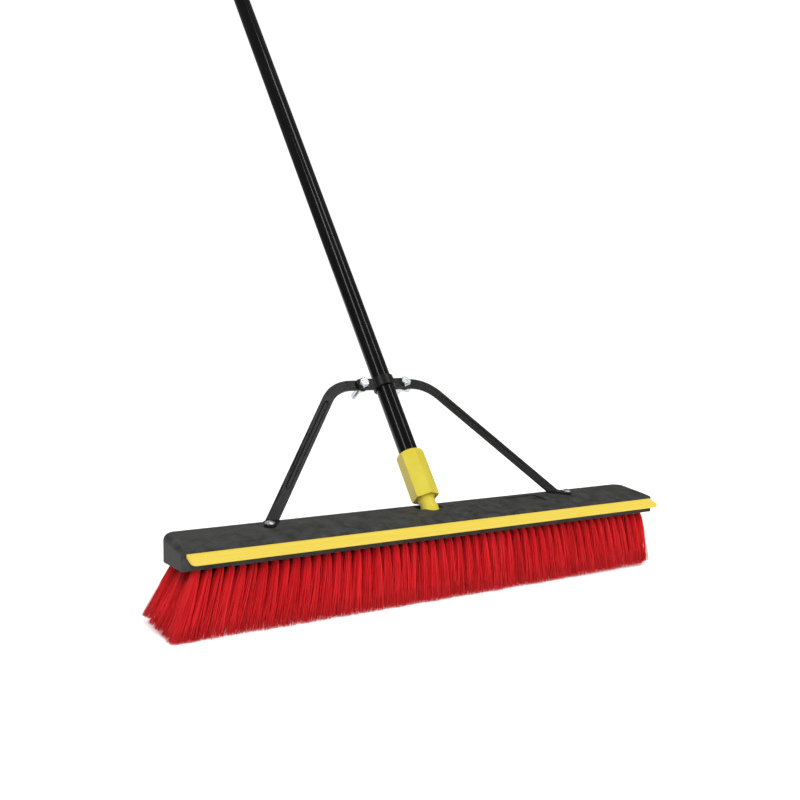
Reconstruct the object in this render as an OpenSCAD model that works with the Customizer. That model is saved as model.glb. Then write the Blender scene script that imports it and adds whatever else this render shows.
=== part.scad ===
// Push broom with a front squeegee blade, a screw-in handle and a clamped steel brace.
// Millimetres. X runs along the block, +Y to the back (the way the handle leans), +Z up.
// The origin is on the floor, in the plane of the bristle tips, under the middle of the block.

/* [Block] */
// Length of the moulded block
block_l = 609.6; // [455:0.1:765]
// Width of the block, front to back
block_w = 63.5; // [60:0.5:76]
// Height of the block at its back edge
block_h = 27.5; // [26:0.5:32]
// Height of the block's top just behind its front edge
block_front_h = 19.6; // [19:0.1:21]
// Plan radius of the two back corners
back_corner_r = 16; // [8:1:20]
// Plan radius of the two front corners
front_corner_r = 4; // [3:0.5:8]

/* [Bristles] */
// Trim height of the bristles under the block
trim_h = 64; // [50:1:90]
// Number of tuft rows
tuft_rows = 5; // [3:2:5]
// Tufts in the first, third and fifth row
tufts_per_row = 51; // [41:2:51]
// Distance from tuft to tuft along a row
tuft_pitch = 11.46; // [10.5:0.01:11.6]
// Distance between the rows at the block
row_pitch = 12.25; // [11:0.05:12.5]
// Radius of a tuft where it sits in its hole
tuft_r = 2.9; // [2:0.1:3]
// Depth of a tuft hole
tuft_depth = 8; // [6:0.5:8]
// How far the outer rows flare out at the tips, front and back
flare_y = 12; // [4:1:14]
// How far the rows flare out at the tips on the left, where the brush is combed out
flare_left = 30; // [4:1:34]
// How far the rows flare out at the tips on the right
flare_right = 5; // [4:1:34]

/* [Squeegee] */
// How far the blade stands out of the front wall
blade_out = 15.5; // [8:0.5:22]
// Thickness of the blade
blade_t = 2.8; // [2:0.1:3]
// Angle of the blade below the horizontal
blade_droop = 22; // [0:1:24]
// Height of the blade's slot above the block's underside
blade_z = 14.9; // [14:0.1:15]
// Radius of the blade's two front corners
blade_corner_r = 5; // [2:0.5:10]

/* [Handle] */
// Outside diameter of the handle tube
handle_d = 22.225; // [22:0.005:22.6]
// Wall of the handle tube
handle_wall = 1.0; // [0.6:0.1:1.4]
// Length of the handle tube
handle_l = 1460; // [900:10:1600]
// Lean of the handle from the vertical, towards the back
handle_lean = 36; // [32:1:38]
// Where the handle's axis meets the level of the block's back edge
handle_y = 13.9; // [12:0.1:15]
// Angle that the ferrule's hexagon is turned to, screwed home
ferrule_turn = 36; // [0:1:60]

/* [Brace] */
// Width of the brace's strip
brace_w = 12.7; // [11:0.1:16]
// Thickness of the brace's strip
brace_t = 2.5; // [2:0.1:3]
// Height of the clamp along the handle
clamp_h = 163; // [140:1:200]
// Angle of an arm below the clamp's ears
arm_drop = 52.1; // [48:0.1:56]
// Straight length from the handle's axis to the bend of the right arm
ear_half = 38; // [37:0.5:42]
// How much further out the left arm runs than the right one
left_reach = 6; // [0:0.5:7]
// Outer bend radius where an ear turns into an arm
bend_r = 52; // [40:1:60]
// Distance of each clamp bolt from the handle's axis
bolt_x = 29; // [27:0.5:30]
// Depth of the stiffening groove pressed into each arm
groove_depth = 1.1; // [0.6:0.1:1.3]

/* [Hidden] */
$fn = 64;
eps = 0.01;

// Levels above the floor
block_z = trim_h;
block_top_z = trim_h + block_h;
// Crown of the block's top: a large arc from just behind the front edge to the back edge
crown_front = [-28, block_front_h];
crown_mid = [0, (block_front_h + block_h) / 2 + 1.65];
crown_back = [25, block_h - 0.1];
back_edge_r = 7;
front_edge_r = 2.5;
end_edge_r = 7;
bottom_bevel = 1;

// Handle, along its own axis from where it meets the level of the block's back edge
handle_r = handle_d / 2;
fit_gap = 0.05;
hex_r = 16.15;
hex_shoulder_r = 4.5;
hex_from = 9.4;
hex_to = 67.9;
socket_from = 22;
neck_r = 9.2;
collar_r = 10.3;
thread_minor_r = 8.9;
thread_pitch = 5.08;
collar_from = -10.5;
stud_end = -20;
bore_r = collar_r + 0.08;
bore_end = stud_end - 0.6;
spot_r = 11.4;
spot_from = -6;
spot_shift = 5.2;
cut_h = 40;
handle_top = socket_from + handle_l;
cap_l = 26;
cap_plug_l = 30;
cap_r = handle_r - 0.2;
hang_hole_r = 3.6;

// Clamp: 1/4 inch bolts
bolt_r = 3.15;
bolt_hole_r = 3.4;
bolt_head_r = 6.4;
bolt_head_h = 4.2;
ear_gap = 1.2;
strap_t = 2.3;
strap_half = 37;
saddle_in_r = handle_r + fit_gap;
washer_t = 1.4;
washer_r = 7.6;
nut_h = 7;
nut_gap = 0.06;
bolt_end_y = 26;

// Brace feet and their screws
foot_screw_x = 198;
foot_screw_y = 6.5;
foot_clear = 0.03;
foot_screw_r = 2.4;
foot_hole_r = 2.7;
pilot_r = 2.45;
screw_depth = 13;
foot_head_r = 5;
groove_r = 4.6;
groove_back = 0.8;
groove_l = 128;

// ---------- helpers ----------

// Points on a circular arc
function arc(centre, radius, from, to, steps) = [
    for (i = [0:steps])
        let (a = from + (to - from) * i / steps)
            centre + radius * [cos(a), sin(a)]
];

// Centre of the circle through three points
function circle_centre(a, b, c) =
    let (d = 2 * (a.x * (b.y - c.y) + b.x * (c.y - a.y) + c.x * (a.y - b.y)))
    [
        ((a * a) * (b.y - c.y) + (b * b) * (c.y - a.y) + (c * c) * (a.y - b.y)) / d,
        ((a * a) * (c.x - b.x) + (b * b) * (a.x - c.x) + (c * c) * (b.x - a.x)) / d
    ];

crown_c = circle_centre(crown_front, crown_mid, crown_back);
crown_r = norm(crown_mid - crown_c);

// Height of the crown above the block's underside
function crown_z(y) = crown_c.y + sqrt(pow(crown_r, 2) - pow(y - crown_c.x, 2));

// Centre of an edge rounding of radius r that touches the crown from inside
function edge_centre(y, r) = [y, crown_c.y + sqrt(pow(crown_r - r, 2) - pow(y - crown_c.x, 2))];

// Slope of the crown, in degrees
function crown_slope(y) = asin((crown_c.x - y) / crown_r);

// Extrudes a profile drawn in Y (right) and Z (up) along X
module along_x(length) {
    translate([-length / 2, 0, 0])
        rotate([90, 0, 90])
            linear_extrude(length) children();
}

// Moves into the handle's frame: Z along the handle, Y square to it and to the back
module on_handle(distance = 0) {
    translate([0, handle_y, block_top_z])
        rotate([-handle_lean, 0, 0])
            translate([0, 0, distance]) children();
}

// Puts the children, drawn with +Z to the front, on one clamp bolt's axis
module on_clamp_bolt(side) {
    on_handle(clamp_h)
        translate([side * bolt_x, 0, 0])
            rotate([90, 0, 0]) children();
}

// Moves onto the flat foot of the brace, on the block
module on_foot(side) {
    translate([side * foot_screw_x, foot_screw_y, block_z + crown_z(foot_screw_y)])
        rotate([crown_slope(foot_screw_y), 0, 0])
            translate([0, 0, foot_clear]) children();
}

// A rectangle whose four corners can each be round: front left, front right, back right, back left
module round_rect(low, high, radii) {
    corners = [low, [high.x, low.y], high, [low.x, high.y]];
    inward = [[1, 1], [-1, 1], [-1, -1], [1, -1]];
    difference() {
        translate(low) square(high - low);
        for (i = [0:3])
            if (radii[i] > 0)
                difference() {
                    translate(corners[i]) square(2 * radii[i], center = true);
                    translate(corners[i] + inward[i] * radii[i]) circle(r = radii[i]);
                }
    }
}

// ---------- block ----------

// What is cut off the profile outside one edge rounding
module outside_edge(centre, side) {
    up = centre - crown_c;
    polygon([centre, centre + up * 20 / norm(up), [side * block_w, 2 * block_h], centre + [side * block_w, 0]]);
}

module block_section() {
    half = block_w / 2;
    front = edge_centre(-half + front_edge_r, front_edge_r);
    back = edge_centre(half - back_edge_r, back_edge_r);
    difference() {
        union() {
            difference() {
                intersection() {
                    translate([-half, 0]) square([block_w, 2 * block_h]);
                    translate(crown_c) circle(r = crown_r, $fn = 720);
                }
                outside_edge(front, -1);
                outside_edge(back, 1);
            }
            translate(front) circle(r = front_edge_r);
            translate(back) circle(r = back_edge_r);
        }
        for (side = [-1, 1])
            translate([side * half, 0]) rotate(45) square(bottom_bevel * sqrt(2), center = true);
    }
}

module block_plan() {
    half = [block_l, block_w] / 2;
    round_rect(-half, half, [front_corner_r, front_corner_r, 0, 0]);
}

// What is cut off a back corner: all that lies outside a round post with a round top edge
module outside_corner() {
    r = back_corner_r;
    top = crown_z(block_w / 2);
    translate([block_l / 2 - r, block_w / 2 - r, block_z])
        difference() {
            translate([0, 0, -1]) cube([2 * r, 2 * r, 2 * block_h]);
            rotate_extrude()
                intersection() {
                    round_rect([-r, -2], [r, top], [0, 0, back_edge_r, back_edge_r]);
                    translate([0, -2]) square([r, top + 2]);
                }
        }
}

// Rounds the top edge of both ends, along the slope of the top
module block_elevation() {
    x = block_l / 2;
    translate([0, 0, block_z + crown_z(0)])
        rotate([90 + crown_slope(0), 0, 0])
            linear_extrude(3 * block_w, center = true)
                round_rect([-x, -3 * block_h], [x, 0], [0, 0, end_edge_r, end_edge_r]);
}

// The tuft holes that would run into the handle's bore are left out
function tuft_fits(x, row) = !(abs(x) < 12 && row == 4);

function row_count(row) = row % 2 == 1 ? tufts_per_row : tufts_per_row - 1;
function row_y(row) = (row - (tuft_rows + 1) / 2) * row_pitch;
function tuft_xs(row) = [
    for (i = [0:row_count(row) - 1])
        let (x = (i - (row_count(row) - 1) / 2) * tuft_pitch)
            if (tuft_fits(x, row)) x
];

module block() {
    color([0.13, 0.13, 0.13])
        difference() {
            intersection() {
                translate([0, 0, block_z]) along_x(block_l) block_section();
                translate([0, 0, block_z - 1]) linear_extrude(block_h + 2) block_plan();
                block_elevation();
            }
            for (side = [0, 1]) mirror([side, 0, 0]) outside_corner();
            for (row = [1:tuft_rows])
                for (x = tuft_xs(row))
                    translate([x, row_y(row), block_z - 1]) cylinder(r = tuft_r + 0.1, h = tuft_depth + 1, $fn = 24);
            on_handle(bore_end) cylinder(r = bore_r, h = cut_h);
            for (side = [-1, 1])
                on_handle(spot_from) translate([side * spot_shift, 0, 0]) cylinder(r = spot_r, h = cut_h);
            on_blade() blade_slot();
            for (side = [-1, 1])
                on_foot(side) translate([0, 0, -screw_depth - 1]) cylinder(r = pilot_r, h = screw_depth + 6);
            label_recess();
        }
}

// A plain shallow panel in the top, right of the handle
module label_recess() {
    centre = [130.5, 3.5];
    half = [24.5, 13.5];
    depth = 1.4;
    translate([centre.x, centre.y, block_z + crown_z(centre.y) - depth])
        rotate([crown_slope(centre.y), 0, 0])
            linear_extrude(10) round_rect(-half, half, [3, 3, 3, 3]);
}

// ---------- squeegee ----------

blade_half = block_l / 2 - front_corner_r;
blade_in = 6;
slot_gap = 0.1;

// Moves to where the blade leaves the front wall: -Y out along the blade
module on_blade() {
    translate([0, -block_w / 2, block_z + blade_z])
        rotate([blade_droop, 0, 0]) children();
}

module blade_slot() {
    size = [2 * (blade_half + slot_gap), blade_in + blade_out, blade_t + 2 * slot_gap];
    translate([-size.x / 2, -blade_out + slot_gap, -size.z / 2]) cube(size);
}

module squeegee_blade() {
    low = [-blade_half, -blade_out];
    high = [blade_half, blade_in];
    color([0.93, 0.86, 0.32])
        on_blade()
            translate([0, 0, -blade_t / 2])
                linear_extrude(blade_t) round_rect(low, high, [blade_corner_r, blade_corner_r, 0, 0]);
}

// ---------- bristles ----------

// One row of tufts: a peg in every hole, running together into one flared brush
module tuft_row(row) {
    root_x = tuft_pitch * (tufts_per_row - 1) / 2 + tuft_r + 0.8;
    tip_half = (block_w / 2 + flare_y - 2.4);
    tip_pitch = 2 * tip_half / tuft_rows;
    root_y = row_y(row);
    tip_y = (row - (tuft_rows + 1) / 2) * tip_pitch;
    color([0.75, 0.12, 0.15])
        union() {
            intersection() {
                along_x(800) polygon([
                    [tip_y - tip_pitch / 2 + 0.2, 0], [tip_y + tip_pitch / 2 - 0.2, 0],
                    [root_y + row_pitch / 2 - 1, block_z - 0.2], [root_y - row_pitch / 2 + 1, block_z - 0.2]
                ]);
                translate([0, 100, 0]) rotate([90, 0, 0]) linear_extrude(200) polygon([
                    [-root_x - flare_left + 2, 0], [root_x + flare_right - 2, 0], [root_x + flare_right, 5],
                    [root_x, block_z - 0.2], [-root_x, block_z - 0.2], [-root_x - flare_left, 5]
                ]);
            }
            for (x = tuft_xs(row))
                translate([x, root_y, block_z - 1]) cylinder(r = tuft_r, h = tuft_depth + 0.9, $fn = 24);
        }
}

module tuft_row_1() { tuft_row(1); }
module tuft_row_2() { tuft_row(2); }
module tuft_row_3() { tuft_row(3); }
module tuft_row_4() { tuft_row(4); }
module tuft_row_5() { tuft_row(5); }

// ---------- handle ----------

module handle_tube() {
    color([0.06, 0.06, 0.06])
        on_handle(socket_from + eps)
            difference() {
                cylinder(r = handle_r, h = handle_l - eps);
                translate([0, 0, -1]) cylinder(r = handle_r - handle_wall, h = handle_l + 2);
            }
}

// Keeps the ends of the hexagon round
module hex_envelope() {
    r = hex_r + 0.2;
    rotate_extrude()
        intersection() {
            round_rect([-r, hex_from], [r, hex_to], [2, 2, hex_shoulder_r, hex_shoulder_r]);
            translate([0, hex_from]) square([r, hex_to - hex_from]);
        }
}

module stud_thread() {
    for (z = [stud_end + 2.2:thread_pitch:collar_from - 2])
        translate([0, 0, z]) rotate_extrude() polygon([
            [0, -1.7], [thread_minor_r, -1.7], [collar_r - 0.4, -0.6],
            [collar_r - 0.4, 0.6], [thread_minor_r, 1.7], [0, 1.7]
        ]);
}

// Hexagonal grip body, waisted neck, plain collar and the stud that screws into the block
module handle_ferrule() {
    collar_to = collar_from + 8.5;
    color([0.90, 0.82, 0.22])
        on_handle()
            difference() {
                union() {
                    intersection() {
                        translate([0, 0, hex_from])
                            rotate([0, 0, 30 - 90 - ferrule_turn])
                                cylinder(r = hex_r, h = hex_to - hex_from, $fn = 6);
                        hex_envelope();
                    }
                    rotate_extrude() polygon([
                        [0, stud_end], [thread_minor_r - 1, stud_end], [thread_minor_r, stud_end + 1],
                        [thread_minor_r, collar_from], [collar_r, collar_from], [collar_r, collar_to],
                        [neck_r, collar_to + 2.5], [neck_r, hex_from - 2], [neck_r + 1.2, hex_from],
                        [neck_r + 1.2, hex_from + 1], [0, hex_from + 1]
                    ]);
                    stud_thread();
                }
                translate([0, 0, socket_from]) cylinder(r = handle_r, h = hex_to);
            }
}

// Plug in the top of the tube, with a hole to hang the broom by
module hang_cap() {
    color([0.10, 0.10, 0.10])
        on_handle(handle_top)
            difference() {
                union() {
                    translate([0, 0, -cap_plug_l]) cylinder(r = handle_r - handle_wall - 0.02, h = cap_plug_l + 1);
                    translate([0, 0, eps]) cylinder(r = cap_r, h = cap_l - cap_r - eps);
                    translate([0, 0, cap_l - cap_r]) sphere(r = cap_r);
                }
                translate([-20, 0, cap_l / 2 - 1]) rotate([0, 90, 0]) cylinder(r = hang_hole_r, h = 40);
            }
}

// ---------- brace ----------

brace_mid = (ear_gap + brace_t) / 2;
bend_c = [ear_half, brace_w / 2 - bend_r];
arm_dir = [cos(arm_drop), -sin(arm_drop)];
arm_start = bend_c + (bend_r - brace_w / 2) * [sin(arm_drop), cos(arm_drop)];

// The fold between an arm and its foot, where their middle planes meet:
// how far behind the foot's screw, how far up the handle, and how far from the middle
fold_tilt = crown_slope(foot_screw_y);
fold_lift = foot_clear + brace_t / 2;
fold_base = [
    foot_screw_y - fold_lift * sin(fold_tilt) - handle_y,
    crown_z(foot_screw_y) + fold_lift * cos(fold_tilt) - block_h
];
fold_back = (brace_mid - fold_base.x * cos(handle_lean) + fold_base.y * sin(handle_lean))
    / cos(handle_lean + fold_tilt);
fold_h = (fold_base.x + fold_back * cos(fold_tilt)) * sin(handle_lean)
    + (fold_base.y + fold_back * sin(fold_tilt)) * cos(handle_lean);
arm_l = (arm_start.y + clamp_h - fold_h) / sin(arm_drop);
fold_x = arm_start.x + arm_l * arm_dir.x;
fold_l = brace_w / sin(arm_drop);
fold_proud = 0.15;

// Half of the clamp seen along the handle: a saddle round the tube with two flat ears.
// The ears lie from ear_gap / 2 to ear_gap / 2 + thickness.
module saddle_profile(thickness, half_length) {
    outer_r = saddle_in_r + thickness;
    fillet = 3;
    ear_out = ear_gap / 2 + thickness;
    cx = sqrt(pow(outer_r + fillet, 2) - pow(ear_out + fillet, 2));
    a = atan2(ear_out + fillet, cx);
    difference() {
        polygon(concat(
            [[half_length, ear_gap / 2], [half_length, ear_out]],
            arc([cx, ear_out + fillet], fillet, 270, 180 + a, 8),
            arc([0, 0], outer_r, a, 180 - a, 40),
            arc([-cx, ear_out + fillet], fillet, 360 - a, 270, 8),
            [[-half_length, ear_out], [-half_length, ear_gap / 2]]
        ));
        circle(r = saddle_in_r, $fn = 128);
    }
}

// Outline of one arm in the brace's plane: ear, bend and straight run down to the fold
module arm_outline() {
    inner_r = bend_r - brace_w;
    out_end = bend_c + bend_r * [sin(arm_drop), cos(arm_drop)];
    in_end = bend_c + inner_r * [sin(arm_drop), cos(arm_drop)];
    out_run = (out_end.y + clamp_h - fold_h) / sin(arm_drop);
    in_run = (in_end.y + clamp_h - fold_h) / sin(arm_drop);
    polygon(concat(
        [[saddle_in_r + 3, brace_w / 2]],
        arc(bend_c, bend_r, 90, 90 - arm_drop, 24),
        [out_end + arm_dir * out_run, in_end + arm_dir * in_run],
        arc(bend_c, inner_r, 90 - arm_drop, 90, 20),
        [[saddle_in_r + 3, -brace_w / 2]]
    ));
}

// A round-ended rod lying along one arm, sunk to a depth behind the clamp's plane
module arm_rod(depth) {
    start = arm_start + 6 * arm_dir;
    translate([start.x, depth, start.y])
        rotate([0, 90 + arm_drop, 0]) {
            cylinder(r = groove_r, h = groove_l);
            sphere(r = groove_r);
            translate([0, 0, groove_l]) sphere(r = groove_r);
        }
}

// A flat foot with a round end, folded forward onto the block, its screw this far across from the fold
module brace_foot(across) {
    half_w = brace_w / 2 * [fold_back, across] / norm([fold_back, across]);
    linear_extrude(brace_t) {
        circle(r = brace_w / 2);
        polygon([[-across - fold_l / 2, fold_back], -half_w, half_w, [-across + fold_l / 2, fold_back]]);
    }
    translate([-across, fold_back, brace_t / 2 + fold_proud])
        rotate([0, 90, 0]) cylinder(r = brace_t / 2 + fold_proud, h = fold_l + 4 * fold_proud, center = true);
}

module brace_arm() {
    groove_z = ear_gap / 2 + groove_depth - groove_r;
    difference() {
        union() {
            translate([0, ear_gap / 2 + brace_t, 0]) rotate([90, 0, 0]) linear_extrude(brace_t) arm_outline();
            intersection() {
                arm_rod(groove_z + brace_t + groove_back);
                translate([0, brace_mid, -2 * clamp_h]) cube([2 * fold_x, groove_r * 2, 2 * clamp_h]);
            }
        }
        arm_rod(groove_z);
    }
}

module brace_bar() {
    color([0.12, 0.12, 0.12])
        difference() {
            union() {
                on_handle(clamp_h) {
                    translate([0, 0, -brace_w / 2]) linear_extrude(brace_w) saddle_profile(brace_t, 26);
                    for (side = [0, 1])
                        mirror([side, 0, 0]) translate([side * left_reach, 0, 0]) brace_arm();
                }
                for (side = [0, 1])
                    mirror([side, 0, 0]) on_foot(1) brace_foot(foot_screw_x - fold_x - side * left_reach);
            }
            for (side = [-1, 1]) {
                on_clamp_bolt(side) cylinder(r = bolt_hole_r, h = 20, center = true);
                on_foot(side) translate([0, 0, -2]) cylinder(r = foot_hole_r, h = 10);
            }
        }
}

module clamp_strap() {
    color([0.10, 0.10, 0.10])
        difference() {
            on_handle(clamp_h)
                intersection() {
                    translate([0, 0, -brace_w / 2])
                        rotate([0, 0, 180]) linear_extrude(brace_w) saddle_profile(strap_t, strap_half);
                    rotate([90, 0, 0]) linear_extrude(60, center = true)
                        round_rect([-strap_half, -brace_w / 2], [strap_half, brace_w / 2], [4, 4, 4, 4]);
                }
            for (side = [-1, 1]) on_clamp_bolt(side) cylinder(r = bolt_hole_r, h = 40, center = true);
        }
}

// Hexagon head bolt, drawn with its head to the front
module clamp_bolt(side) {
    ear_front = ear_gap / 2 + strap_t + 0.02;
    color([0.80, 0.82, 0.84])
        on_clamp_bolt(side) {
            translate([0, 0, ear_front])
                intersection() {
                    rotate([0, 0, 12]) cylinder(r = bolt_head_r, h = bolt_head_h, $fn = 6);
                    rotate_extrude() polygon([
                        [0, 0], [bolt_head_r + 1, 0], [bolt_head_r + 1, bolt_head_h - 1.4],
                        [bolt_head_r - 1.2, bolt_head_h], [0, bolt_head_h]
                    ]);
                }
            translate([0, 0, -bolt_end_y]) cylinder(r = bolt_r, h = bolt_end_y + ear_front + 1);
        }
}

module clamp_washer(side) {
    back = ear_gap / 2 + brace_t + 0.02;
    color([0.78, 0.80, 0.82])
        on_clamp_bolt(side)
            translate([0, 0, -back - washer_t])
                difference() {
                    cylinder(r = washer_r, h = washer_t);
                    translate([0, 0, -1]) cylinder(r = bolt_r + 0.15, h = washer_t + 2);
                }
}

// Wing nut behind the ear: a round boss with two rounded wings
module wing_nut(side, turn) {
    back = ear_gap / 2 + brace_t + 0.02 + washer_t + 0.02;
    color([0.78, 0.80, 0.82])
        on_clamp_bolt(side)
            translate([0, 0, -back - nut_h])
                difference() {
                    union() {
                        cylinder(r1 = 4.9, r2 = 6.2, h = nut_h);
                        rotate([0, 0, turn])
                            for (wing = [0, 180])
                                rotate([90, 0, wing])
                                    linear_extrude(2.2, center = true)
                                        union() {
                                            polygon([[3.6, 0.4], [5.2, 6.6], [11, 3.6], [13, -1], [9, -3]]);
                                            translate([10.3, -1.6]) circle(r = 4.2);
                                        }
                    }
                    translate([0, 0, -8]) cylinder(r = bolt_r + nut_gap, h = nut_h + 12);
                }
}

// Pan head screw through one foot of the brace into the block
module foot_screw(side) {
    color([0.80, 0.82, 0.84])
        on_foot(side)
            difference() {
                union() {
                    translate([0, 0, brace_t + 0.06])
                        intersection() {
                            cylinder(r = foot_head_r, h = 3.2);
                            translate([0, 0, -4.4]) sphere(r = 7.6, $fn = 96);
                        }
                    translate([0, 0, -screw_depth + 2]) cylinder(r = foot_screw_r, h = screw_depth + brace_t);
                    translate([0, 0, -screw_depth - 0.5]) cylinder(r1 = 0.4, r2 = foot_screw_r, h = 2.5 + eps);
                }
                for (turn = [20, 110])
                    translate([0, 0, brace_t + 3.2])
                        rotate([0, 0, turn]) cube([5.2, 1.1, 2.6], center = true);
            }
}

module clamp_bolt_left() { clamp_bolt(-1); }
module clamp_bolt_right() { clamp_bolt(1); }
module clamp_washer_left() { clamp_washer(-1); }
module clamp_washer_right() { clamp_washer(1); }
module wing_nut_left() { wing_nut(-1, 48); }
module wing_nut_right() { wing_nut(1, 174); }
module foot_screw_left() { foot_screw(-1); }
module foot_screw_right() { foot_screw(1); }

block();
squeegee_blade();
tuft_row_1();
tuft_row_2();
tuft_row_3();
tuft_row_4();
tuft_row_5();
handle_tube();
handle_ferrule();
hang_cap();
brace_bar();
clamp_strap();
clamp_bolt_left();
clamp_bolt_right();
clamp_washer_left();
clamp_washer_right();
wing_nut_left();
wing_nut_right();
foot_screw_left();
foot_screw_right();
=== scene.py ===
"""Looks of the push broom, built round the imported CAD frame.

Metres, in the frame's own axes: X along the block, +Y to the back, +Z up, z = 0 at the bristle tips.
"""

import math

import bpy
import numpy as np
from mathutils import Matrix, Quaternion, Vector


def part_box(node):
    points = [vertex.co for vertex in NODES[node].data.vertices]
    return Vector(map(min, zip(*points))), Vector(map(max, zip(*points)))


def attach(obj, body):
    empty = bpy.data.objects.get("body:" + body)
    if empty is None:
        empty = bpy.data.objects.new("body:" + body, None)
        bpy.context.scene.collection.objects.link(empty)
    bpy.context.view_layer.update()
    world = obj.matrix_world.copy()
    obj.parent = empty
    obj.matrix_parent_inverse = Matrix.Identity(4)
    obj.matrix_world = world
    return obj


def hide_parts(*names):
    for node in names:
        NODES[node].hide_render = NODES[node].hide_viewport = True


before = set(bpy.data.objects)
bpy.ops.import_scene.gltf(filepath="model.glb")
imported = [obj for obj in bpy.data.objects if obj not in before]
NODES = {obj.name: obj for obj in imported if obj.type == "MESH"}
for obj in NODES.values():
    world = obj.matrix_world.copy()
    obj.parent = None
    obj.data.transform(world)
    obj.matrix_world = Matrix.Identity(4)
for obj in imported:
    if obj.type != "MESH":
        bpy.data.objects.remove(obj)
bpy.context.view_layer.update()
MM = 0.001

# ---------- camera, floor and light ----------

CAMERA_PLACE = (-0.63734, -0.91368, 0.28621)
CAMERA_YAW, CAMERA_PITCH, CAMERA_ROLL = 32.85, -3.88, 0.23  # degrees
CAMERA_LENS, CAMERA_SENSOR = 45.81, 36.0  # millimetres
FLOOR_RADIUS = 14
FLOOR_GLOW = 0.26
# How strong the white surround is as a light, in glossy surfaces, and where the camera sees it
SURROUND_LIGHT, SURROUND_GLOSS, SURROUND_SEEN = 0.35, 0.2, 1.05


def make_camera():
    """The photograph's viewpoint, about a metre in front of the broom's left half."""
    yaw, pitch, roll = (math.radians(angle) for angle in (CAMERA_YAW, CAMERA_PITCH, CAMERA_ROLL))
    forward = Vector((math.sin(yaw) * math.cos(pitch), math.cos(yaw) * math.cos(pitch), math.sin(pitch)))
    data = bpy.data.cameras.new("camera")
    data.lens = CAMERA_LENS
    data.sensor_width = CAMERA_SENSOR
    data.clip_start, data.clip_end = 0.01, 100.0
    camera = bpy.data.objects.new("camera", data)
    camera.location = CAMERA_PLACE
    camera.rotation_mode = "QUATERNION"
    camera.rotation_quaternion = forward.to_track_quat("-Z", "Y") @ Quaternion((0, 0, 1), roll)
    bpy.context.scene.collection.objects.link(camera)
    bpy.context.scene.camera = camera


def area_light(name, location, target, size, power, shines=True):
    """A soft box; one that does not shine only shows in glossy surfaces."""
    data = bpy.data.lights.new(name, "AREA")
    data.shape = "RECTANGLE"
    data.size, data.size_y = size
    data.energy = power
    light = bpy.data.objects.new(name, data)
    light.visible_diffuse = shines
    light.location = location
    light.rotation_mode = "QUATERNION"
    light.rotation_quaternion = (Vector(target) - Vector(location)).to_track_quat("-Z", "Y")
    bpy.context.scene.collection.objects.link(light)


def sun_light(name, source, strength, softness):
    """A broad even light over the whole floor, from the direction of source; it shows in no glossy surface."""
    data = bpy.data.lights.new(name, "SUN")
    data.energy = strength
    data.angle = math.radians(softness)
    light = bpy.data.objects.new(name, data)
    light.visible_glossy = False
    light.rotation_mode = "QUATERNION"
    light.rotation_quaternion = (-Vector(source)).to_track_quat("-Z", "Y")
    bpy.context.scene.collection.objects.link(light)


def make_floor():
    """A white floor with a slight glow of its own, so that it meets the surround without a line."""
    bpy.ops.mesh.primitive_circle_add(
        vertices=96, radius=FLOOR_RADIUS, fill_type="NGON", location=(0, 0, 0)
    )
    floor = bpy.context.object
    floor.name = "floor"
    material, _, _, shader = new_material("studio_floor")
    shader.inputs["Base Color"].default_value = (0.9, 0.9, 0.9, 1)
    shader.inputs["Emission Color"].default_value = (1, 1, 1, 1)
    shader.inputs["Emission Strength"].default_value = FLOOR_GLOW
    shader.inputs["Roughness"].default_value = 0.9
    shader.inputs["Specular IOR Level"].default_value = 0.1
    floor.data.materials.append(material)


def white(background, strength):
    """Sets a background node to white at one strength and returns its output."""
    background.inputs["Color"].default_value = (1, 1, 1, 1)
    background.inputs["Strength"].default_value = strength
    return background.outputs[0]


def make_surround():
    """A white world that shows brighter than it lights, and darker still in glossy surfaces."""
    world = bpy.data.worlds.new("studio")
    bpy.context.scene.world = world
    world.use_nodes = True
    tree = world.node_tree
    path = tree.nodes.new("ShaderNodeLightPath")
    result = white(tree.nodes["Background"], SURROUND_LIGHT)
    for ray, strength in (("Is Glossy Ray", SURROUND_GLOSS), ("Is Camera Ray", SURROUND_SEEN)):
        mix = tree.nodes.new("ShaderNodeMixShader")
        tree.links.new(path.outputs[ray], mix.inputs[0])
        tree.links.new(result, mix.inputs[1])
        tree.links.new(white(tree.nodes.new("ShaderNodeBackground"), strength), mix.inputs[2])
        result = mix.outputs[0]
    tree.links.new(result, tree.nodes["World Output"].inputs[0])


def make_studio():
    """The white set, a broad key light, and narrow boxes for the highlights on the paint."""
    make_floor()
    make_surround()
    sun_light("key", (-0.4, -1.0, 1.0), 2.7, 40)
    area_light("top_strip", (0.75, -0.6, 2.2), (0, 0.1, 0.3), (0.2, 2.4), 13)
    area_light("left_strip", (-2.2, -0.5, 2.1), (0, 0.2, 0.4), (0.26, 3.0), 26, shines=False)
    area_light("back_box", (0.3, 2.6, 1.9), (0, 0.2, 0.3), (2.0, 1.2), 8)
    bpy.context.scene.view_settings.view_transform = "Standard"


# ---------- materials ----------


def new_material(name):
    """A new material, its nodes, its links and its main shader."""
    material = bpy.data.materials.new(name)
    material.use_nodes = True
    tree = material.node_tree
    return material, tree.nodes, tree.links, tree.nodes["Principled BSDF"]


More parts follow.
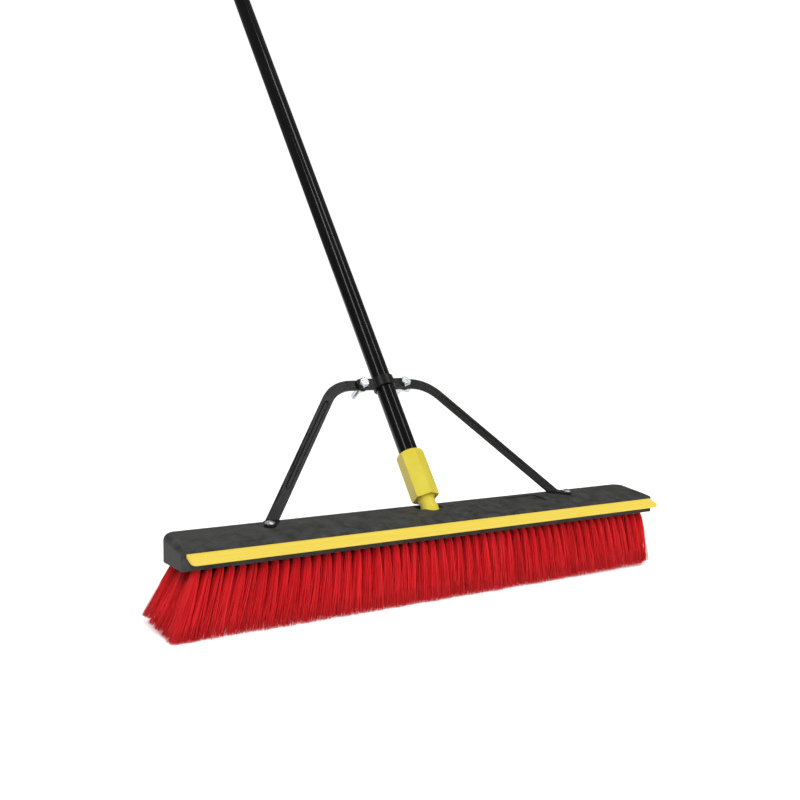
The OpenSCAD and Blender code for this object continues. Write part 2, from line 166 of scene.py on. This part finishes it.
def noise(nodes, links, scale, detail=3.0, stretch=(1, 1, 1), rough=0.5):
    """Noise in the object's own metres; stretch below 1 draws it out along that axis."""
    place = nodes.new("ShaderNodeTexCoord")
    shape = nodes.new("ShaderNodeMapping")
    shape.inputs["Scale"].default_value = stretch
    texture = nodes.new("ShaderNodeTexNoise")
    texture.inputs["Scale"].default_value = scale
    texture.inputs["Detail"].default_value = detail
    texture.inputs["Roughness"].default_value = rough
    links.new(place.outputs["Object"], shape.inputs["Vector"])
    links.new(shape.outputs["Vector"], texture.inputs["Vector"])
    return texture.outputs["Fac"]


def ramp(nodes, links, value, stops):
    """Maps a value to colours: stops are (position, colour) pairs."""
    node = nodes.new("ShaderNodeValToRGB")
    links.new(value, node.inputs["Fac"])
    elements = node.color_ramp.elements
    while len(elements) < len(stops):
        elements.new(0.5)
    for element, (position, colour) in zip(elements, stops):
        element.position = position
        element.color = (*colour, 1)
    return node.outputs["Color"]


def spread(nodes, links, value, low, high):
    """Maps a noise value, which mostly lies between 0.3 and 0.7, to a number from low to high."""
    node = nodes.new("ShaderNodeMapRange")
    node.inputs["From Min"].default_value = 0.3
    node.inputs["From Max"].default_value = 0.7
    node.inputs["To Min"].default_value = low
    node.inputs["To Max"].default_value = high
    links.new(value, node.inputs["Value"])
    return node.outputs["Result"]


def bump(nodes, links, shader, layers):
    """Stacks bump layers: (height, distance in metres, strength) each."""
    normal = None
    for height, distance, strength in layers:
        node = nodes.new("ShaderNodeBump")
        node.inputs["Distance"].default_value = distance
        node.inputs["Strength"].default_value = strength
        links.new(height, node.inputs["Height"])
        if normal is not None:
            links.new(normal, node.inputs["Normal"])
        normal = node.outputs["Normal"]
    links.new(normal, shader.inputs["Normal"])


def moulded_black(name, dark, light, rough, grain):
    """Structural-foam plastic: cloudy black, with pits and a fine sandy grain."""
    material, nodes, links, shader = new_material(name)
    clouds = noise(nodes, links, 70, 6, rough=0.78)
    sand = noise(nodes, links, 1400, 2)
    pits = noise(nodes, links, 420, 3)
    links.new(ramp(nodes, links, clouds, [(0.32, dark), (0.68, light)]), shader.inputs["Base Color"])
    links.new(spread(nodes, links, clouds, rough - 0.1, rough + 0.2), shader.inputs["Roughness"])
    shader.inputs["Specular IOR Level"].default_value = 0.2
    layers = [(clouds, 1.2 * MM, 0.5), (pits, 0.4 * MM, grain), (sand, 0.12 * MM, grain)]
    bump(nodes, links, shader, layers)
    return material


def rubber_yellow():
    """Squeegee rubber: matt, with faint streaks along its length from the extruder."""
    material, nodes, links, shader = new_material("yellow_rubber")
    streaks = noise(nodes, links, 260, 3, stretch=(0.03, 1, 1))
    fine = noise(nodes, links, 1600, 2)
    colours = [(0.3, (0.70, 0.53, 0.062)), (0.7, (0.75, 0.575, 0.075))]
    links.new(ramp(nodes, links, streaks, colours), shader.inputs["Base Color"])
    links.new(spread(nodes, links, fine, 0.46, 0.6), shader.inputs["Roughness"])
    shader.inputs["Specular IOR Level"].default_value = 0.35
    bump(nodes, links, shader, [(streaks, 0.1 * MM, 0.3), (fine, 0.05 * MM, 0.4)])
    return material


def plastic_yellow():
    """Ferrule plastic: satin, slightly deep, with flow marks from the mould."""
    material, nodes, links, shader = new_material("yellow_plastic")
    flow = noise(nodes, links, 70, 4, stretch=(1, 1, 0.4))
    fine = noise(nodes, links, 900, 3)
    colours = [(0.3, (0.56, 0.46, 0.030)), (0.7, (0.61, 0.51, 0.045))]
    links.new(ramp(nodes, links, flow, colours), shader.inputs["Base Color"])
    links.new(spread(nodes, links, flow, 0.3, 0.42), shader.inputs["Roughness"])
    shader.inputs["Subsurface Weight"].default_value = 0.12
    shader.inputs["Subsurface Radius"].default_value = (0.004, 0.003, 0.001)
    shader.inputs["Subsurface Scale"].default_value = 1.0
    bump(nodes, links, shader, [(flow, 0.3 * MM, 0.12), (fine, 0.05 * MM, 0.25)])
    return material


def painted_black(name, dark, light, rough, gloss, peel):
    """Black paint on steel: orange peel, a soft gloss and a little dust in the roughness."""
    material, nodes, links, shader = new_material(name)
    haze = noise(nodes, links, 24, 4)
    skin = noise(nodes, links, 330, 2)
    dust = noise(nodes, links, 1500, 2)
    links.new(ramp(nodes, links, haze, [(0.35, dark), (0.7, light)]), shader.inputs["Base Color"])
    links.new(spread(nodes, links, dust, rough, rough + 0.12), shader.inputs["Roughness"])
    shader.inputs["Specular IOR Level"].default_value = gloss
    bump(nodes, links, shader, [(skin, 0.08 * MM, peel)])
    return material


def bright_zinc():
    """Zinc plate: bright, cool and slightly uneven, with short tumbling marks."""
    material, nodes, links, shader = new_material("bright_zinc")
    patches = noise(nodes, links, 240, 4, rough=0.65)
    marks = noise(nodes, links, 900, 3, stretch=(0.25, 1, 1))
    colours = [(0.3, (0.58, 0.60, 0.62)), (0.55, (0.70, 0.73, 0.75)), (0.8, (0.66, 0.69, 0.69))]
    links.new(ramp(nodes, links, patches, colours), shader.inputs["Base Color"])
    links.new(spread(nodes, links, marks, 0.3, 0.44), shader.inputs["Roughness"])
    shader.inputs["Metallic"].default_value = 1.0
    bump(nodes, links, shader, [(marks, 0.02 * MM, 0.15)])
    return material


# Strand colours, darkest first: how often each turns up in the open, and in the inner rows, where painted
# shade stands in for the shadow deep inside the brush; the two darkest are almost only that painted shade
STRAND_SHADES = [
    ((0.07, 0.002, 0.003), 0.00, 0.60),
    ((0.20, 0.004, 0.006), 0.01, 0.30),
    ((0.58, 0.009, 0.014), 0.14, 0.10),
    ((0.68, 0.012, 0.018), 0.29, 0.00),
    ((0.75, 0.014, 0.020), 0.32, 0.00),
    ((0.81, 0.020, 0.026), 0.17, 0.00),
    ((0.86, 0.030, 0.035), 0.07, 0.00),
]


def bristle_materials():
    """One fibre material for each colour a strand can have: plastic with a soft sheen; the two darkest are
    painted shade for the inner rows.
    """
    made = []
    for index, (colour, _, _) in enumerate(STRAND_SHADES):
        material, _, _, shader = new_material(f"red_bristle_{index + 1}")
        shader.inputs["Base Color"].default_value = (*colour, 1)
        shader.inputs["Roughness"].default_value = 0.58 - 0.03 * index
        shader.inputs["Specular IOR Level"].default_value = 0.25
        made.append(material)
    return made


def dress(material, bevel, *names):
    """Gives CAD nodes a material and, unless the bevel is 0, welded corners and softly broken edges."""
    for name in names:
        node = NODES[name]
        node.data.materials.clear()
        node.data.materials.append(material)
        if bevel:
            weld = node.modifiers.new("weld", "WELD")
            weld.merge_threshold = 0.002 * MM
            edge = node.modifiers.new("broken_edges", "BEVEL")
            edge.width = bevel * MM
            edge.segments = 2
            edge.limit_method = "ANGLE"
            edge.angle_limit = math.radians(32)
            edge.harden_normals = True


# ---------- bristles ----------

ROWS = sorted(name for name in NODES if name.startswith("tuft_row_"))
ROOT_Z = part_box("block")[0].z + 3 * MM  # strands start this high, inside their hole
HALF_ROW = 25 * 11.46 * MM  # from the middle tuft of a long row to its last one, 25 gaps away
HALF_DEPTH = 33.5 * MM  # from the middle row to an outer one, at the tips
STRANDS = 112
END_STRANDS = 232
STRAND_R = 0.33 * MM
SIDES = 3
TIP_WANDER = (1.0 * MM, 0.7 * MM)
BOW, CRIMP, STRAY = 0.45 * MM, 0.22 * MM, 0.45 * MM
# Where a strand has its rings, from hole to tip, and how far a tuft has spread there along X and Y
RING_AT = np.array([0.0, 0.05, 0.13, 0.40, 0.68, 1.0])
SPREAD_X = np.array([2.6, 2.9, 3.5, 4.2, 5.5, 7.2]) * MM
SPREAD_Y = np.array([2.6, 3.2, 5.6, 7.6, 8.4, 8.8]) * MM
SQUARENESS = np.array([0.0, 0.0, 0.4, 0.85, 0.95, 0.95])
RINGS = len(RING_AT)


def tuft_roots(name):
    """The middle of each tuft's hole in one row, read from the tops of the CAD row's pegs."""
    points = np.array([v.co for v in NODES[name].data.vertices])
    tops = points[points[:, 2] > points[:, 2].max() - 0.5 * MM]
    tops = tops[np.argsort(tops[:, 0])]
    pegs = np.split(tops, np.nonzero(np.diff(tops[:, 0]) > 2 * MM)[0] + 1)
    return np.array([(peg.max(0)[:2] + peg.min(0)[:2]) / 2 for peg in pegs])


def disc(count):
    """Points spread evenly over a unit disc, from the middle outwards."""
    index = np.arange(count) + 0.5
    angle = index * math.pi * (3 - math.sqrt(5))
    return np.stack([np.cos(angle), np.sin(angle)], 1) * np.sqrt(index / count)[:, None]


def tip_lean(x):
    """How far tips lie from their roots along X: combed out on the left, upright again at the right end."""
    left = np.clip(-x / HALF_ROW, 0, 1)
    right = np.clip(x / HALF_ROW, 0, 1)
    return (-3.5 - 22.5 * left**1.3 + 9 * right - 8.5 * right**20) * MM


def tip_rise(x, y):
    """How high tips stand where the brush fans out: at the left end's back, and at the right end."""
    left = np.clip(-x / HALF_ROW, 0, 1)
    right = np.clip(x / HALF_ROW, 0, 1)
    back = np.clip((y + HALF_DEPTH) / (2 * HALF_DEPTH), 0, 1)
    return (8.5 * left**9 * back + 2.2 * right**2 + 3.0 * right**24) * MM


def tuft_tips(roots, tip_y, rng):
    """Where a row's tufts end: shorter rows lean out until all end level, and the rest wander a little."""
    x = roots[:, 0]
    along = x / x.max()
    tip = np.zeros((len(roots), 3))
    tip[:, 0] = x + along**7 * (HALF_ROW - x.max()) + tip_lean(x)
    tip[:, 1] = tip_y
    wander = np.clip(rng.normal(0, 1, (len(roots), 2)), -1.6, 1.6) * TIP_WANDER
    tip[:, :2] += wander * (1 - along[:, None] ** 12)
    tip[:, 2] = tip_rise(x, tip_y) + rng.uniform(0, 0.5 * MM, len(roots))
    return tip


def strand_spots(strands, rng):
    """Each strand's place within its tuft, on a unit disc that is turned differently in every tuft."""
    turn = np.repeat(rng.uniform(0, 2 * math.pi, len(strands)), strands)
    unit = np.concatenate([disc(number) for number in strands])
    cos, sin = np.cos(turn), np.sin(turn)
    return np.stack([unit[:, 0] * cos - unit[:, 1] * sin, unit[:, 0] * sin + unit[:, 1] * cos], -1)


def strand_paths(roots, tips, tuft, spot, side, rng):
    """The points of every strand; tufts spread from round to nearly square, so that neighbours close up."""
    total = len(tuft)
    reach = np.linalg.norm(spot, axis=-1, keepdims=True)
    square = reach / np.abs(spot).max(-1, keepdims=True) - 1
    rise = rng.uniform(0, 0.8 * MM, total) + 0.3 * MM * abs(side) * reach[:, 0] ** 2

    t = RING_AT[None, :, None]
    start = np.concatenate([roots, np.full((len(roots), 1), ROOT_Z)], 1)
    path = start[tuft, None] * (1 - t) + tips[tuft, None] * t
    width = np.stack([SPREAD_X, SPREAD_Y], -1)
    path[..., :2] += spot[:, None] * (1 + SQUARENESS[:, None] * square[:, None]) * width
    path[..., 2] += rise[:, None] * RING_AT
    # a gentle bow, a crimp and a loose tip, all still at the hole
    bow = rng.normal(0, BOW, (total, 1, 2))
    phase = rng.uniform(0, 2 * math.pi, (total, 1, 2))
    stray = rng.normal(0, STRAY, (total, 1, 2))
    path[..., :2] += bow * t * (1 - t) * 4 + CRIMP * np.sin(9 * t + phase) * np.sqrt(t) + stray * t**2
    return path


def strand_verts(path, rng):
    """A ring of corners round every point of every strand, smaller towards the tip."""
    total = len(path)
    angles = rng.uniform(0, 2 * math.pi, (total, 1, 1)) + np.arange(SIDES) * 2 * math.pi / SIDES
    radius = STRAND_R * (1 - 0.3 * RING_AT[None, :, None]) * rng.uniform(0.85, 1.1, (total, 1, 1))
    verts = np.repeat(path[:, :, None, :], SIDES, 2)
    verts[..., 0] += radius * np.cos(angles)
    verts[..., 1] += radius * np.sin(angles)
    return verts.reshape(-1, 3)


def strand_faces(total):
    """Faces between each pair of rings and a cap at either end, as corner numbers and face sizes."""
    ring = np.arange(RINGS - 1)[:, None] * SIDES + np.arange(SIDES)
    after = np.arange(RINGS - 1)[:, None] * SIDES + (np.arange(SIDES) + 1) % SIDES
    quads = np.stack([ring, ring + SIDES, after + SIDES, after], -1).reshape(-1, 4)
    caps = np.stack([np.arange(SIDES), SIDES * RINGS - 1 - np.arange(SIDES)])
    strand = np.concatenate([quads.ravel(), caps.ravel()])
    corners = strand + np.arange(total)[:, None] * SIDES * RINGS
    return corners.ravel(), np.tile([4] * len(quads) + [SIDES] * len(caps), total)


def strand_shades(roots, tuft, side, rng):
    """A colour for each strand: inner rows, except in their last tufts at either end, get painted shade,
    darker colours that stand in for the shadow inside the brush.
    """
    x = roots[:, 0]
    gap = np.median(np.diff(x))
    at_end = np.clip((np.abs(x) - HALF_ROW) / gap + 3, 0, 1)
    # painted shade: inner rows, away from their end tufts, draw mostly the darkest colours, for the shadow
    # inside the brush
    deep = (1 - at_end) * (abs(side) < 1)
    shares = np.array([(seen, in_painted_shade) for _, seen, in_painted_shade in STRAND_SHADES]).T
    steps = np.cumsum(shares / shares.sum(1, keepdims=True), 1)
    limits = steps[0] + (steps[1] - steps[0]) * deep[tuft, None]
    return (rng.uniform(0, 1, (len(tuft), 1)) > limits[:, :-1]).sum(1)


def fill_mesh(name, verts, corners, sizes, shade):
    """Writes the strands, and the shade of each, into one mesh."""
    mesh = bpy.data.meshes.new(name)
    mesh.vertices.add(len(verts))
    mesh.vertices.foreach_set("co", verts.astype(np.float32).ravel())
    mesh.loops.add(len(corners))
    mesh.loops.foreach_set("vertex_index", corners.astype(np.int32))
    mesh.polygons.add(len(sizes))
    starts = np.concatenate([[0], np.cumsum(sizes)[:-1]])
    mesh.polygons.foreach_set("loop_start", starts.astype(np.int32))
    shades = np.repeat(shade, len(sizes) // len(shade))
    mesh.polygons.foreach_set("material_index", shades.astype(np.int32))
    mesh.polygons.foreach_set("use_smooth", np.ones(len(sizes), bool))
    mesh.update(calc_edges=True)
    mesh.validate()
    return bpy.data.objects.new(name, mesh)


def bristle_row(name, row, rng):
    """One row of tufts as single strands, each a thin tapered three-sided fibre."""
    roots = tuft_roots(name)
    middle = (len(ROWS) - 1) / 2
    side = (row - middle) / middle

    # the two tufts at either end are the fullest
    strands = np.full(len(roots), STRANDS)
    strands[[0, 1, -2, -1]] = END_STRANDS
    tuft = np.repeat(np.arange(len(roots)), strands)

    spot = strand_spots(strands, rng)
    tips = tuft_tips(roots, side * HALF_DEPTH, rng)
    path = strand_paths(roots, tips, tuft, spot, side, rng)
    verts = strand_verts(path, rng)
    shade = strand_shades(roots, tuft, side, rng)
    return fill_mesh(name.replace("tuft_row", "bristles"), verts, *strand_faces(len(tuft)), shade)


def make_bristles():
    """Puts single strands in the place of each plain CAD row."""
    shades = bristle_materials()
    for row, name in enumerate(ROWS):
        piece = bristle_row(name, row, np.random.default_rng(70 + row))
        bpy.context.scene.collection.objects.link(piece)
        for material in shades:
            piece.data.materials.append(material)
        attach(piece, "head")
        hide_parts(name)


# ---------- the scene ----------

make_camera()
make_studio()
make_bristles()

BLOCK_PLASTIC = moulded_black(
    "black_plastic", dark=(0.012, 0.012, 0.0115), light=(0.060, 0.061, 0.058), rough=0.55, grain=0.8
)
CAP_PLASTIC = moulded_black(
    "cap_plastic", dark=(0.014, 0.014, 0.014), light=(0.026, 0.026, 0.026), rough=0.4, grain=0.3
)
TUBE_PAINT = painted_black(
    "black_paint_gloss", (0.002, 0.002, 0.002), (0.004, 0.004, 0.004), rough=0.08, gloss=0.22, peel=0.06
)
BRACE_PAINT = painted_black(
    "black_paint_satin", (0.006, 0.006, 0.0055), (0.011, 0.011, 0.0105), rough=0.24, gloss=0.22, peel=0.25
)
ZINC = bright_zinc()

# the bevels are in millimetres
dress(BLOCK_PLASTIC, 0, "block")
dress(CAP_PLASTIC, 0.3, "hang_cap")
dress(rubber_yellow(), 0.25, "squeegee_blade")
dress(plastic_yellow(), 0.9, "handle_ferrule")
dress(TUBE_PAINT, 0, "handle_tube")
dress(BRACE_PAINT, 0.3, "brace_bar", "clamp_strap")
for part in ("clamp_bolt", "clamp_washer", "wing_nut", "foot_screw"):
    dress(ZINC, 0.2, f"{part}_left", f"{part}_right")
